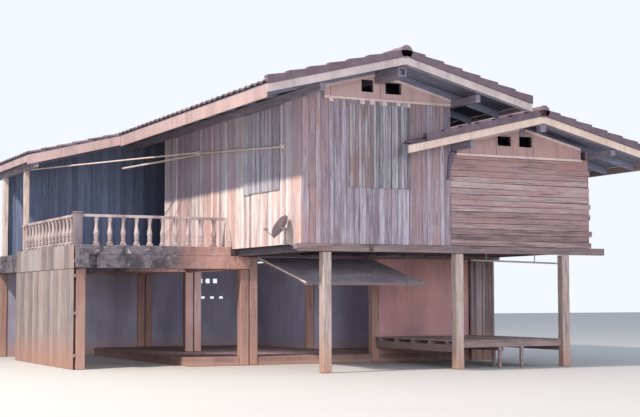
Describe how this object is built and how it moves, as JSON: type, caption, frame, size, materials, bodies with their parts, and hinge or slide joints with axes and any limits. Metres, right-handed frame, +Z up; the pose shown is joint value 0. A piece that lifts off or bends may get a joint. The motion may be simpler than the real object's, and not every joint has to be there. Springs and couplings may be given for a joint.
{
  "type": "stilt house",
  "caption": "Timber house on posts with twin low tiled gables, boarded walls, a concrete balcony with turned balusters and an open ground floor.",
  "frame": {"origin": "middle of the house's outer box, on the ground it stands on", "axes": "+X to the right along the gable front, +Y from the front to the back, +Z up"},
  "size_m": [11.606, 12.756, 6.179],
  "materials": {
    "concrete": "rough cast concrete with reddish dust",
    "stained_concrete": "cast concrete, dark with damp stains",
    "plaster": "red-brown cement render",
    "post_timber": "weathered square timber, dusty at the foot",
    "board_timber": "unpainted weathered boards, grey and pinkish brown",
    "plank_timber": "unpainted weathered planks, red-brown",
    "dark_timber": "old dark timber",
    "deck_timber": "worn deck boards",
    "shutter_timber": "faded grey-green boards",
    "gable_panel": "faded cream sheet panels",
    "roof_tile": "matt purple-brown concrete tiles",
    "ridge_tile": "matt concrete ridge caps",
    "barge_paint": "faded cream painted boards",
    "wing_barge_paint": "peach cream painted boards",
    "eave_paint": "faded pinkish painted boards",
    "baluster": "cast cement, chalky with stains",
    "awning": "dull dark sheet",
    "bamboo": "dry straight poles",
    "dish_metal": "dull dark grey paint"
  },
  "bodies": {
    "root": {"plinth": "concrete", "front_posts": "post_timber", "inner_posts": "post_timber", "balcony_columns": "concrete", "lower_front_wall": "plaster", "lower_plank_panel": "dark_timber", "lower_side_walls": "plaster", "lower_rear_walls": "plaster", "awning_sheet": "awning", "awning_frame": "dark_timber", "platform_deck": "deck_timber", "platform_frame": "dark_timber", "balcony_slab": "stained_concrete", "balcony_edge_beams": "stained_concrete", "balcony_balusters": "baluster", "balcony_handrail": "baluster", "balcony_posts": "baluster", "side_screen": "board_timber", "floor_girders": "post_timber", "floor_joists": "dark_timber", "floor_boards": "dark_timber", "main_gable_wall": "board_timber", "main_left_wall": "board_timber", "main_right_wall": "board_timber", "room_rear_wall": "board_timber", "hall_rear_wall": "board_timber", "wing_gable_wall": "plank_timber", "wing_right_wall": "plank_timber", "wing_rear_wall": "plank_timber", "gable_shutters": "shutter_timber", "side_shutters": "shutter_timber", "gable_panels": "gable_panel", "main_roof_left": "roof_tile", "main_roof_right": "roof_tile", "lean_to_roof": "roof_tile", "wing_roof_left": "roof_tile", "wing_roof_right": "roof_tile", "ridge_caps": "ridge_tile", "verge_tiles": "roof_tile", "main_bargeboards": "barge_paint", "wing_bargeboards": "wing_barge_paint", "eave_fascias": "eave_paint", "roof_purlins": "dark_timber", "roof_rafters": "dark_timber", "lean_to_posts": "post_timber", "knee_bracket": "dark_timber", "drying_poles": "bamboo", "satellite_dish": "dish_metal"}
  },
  "joints": []
}
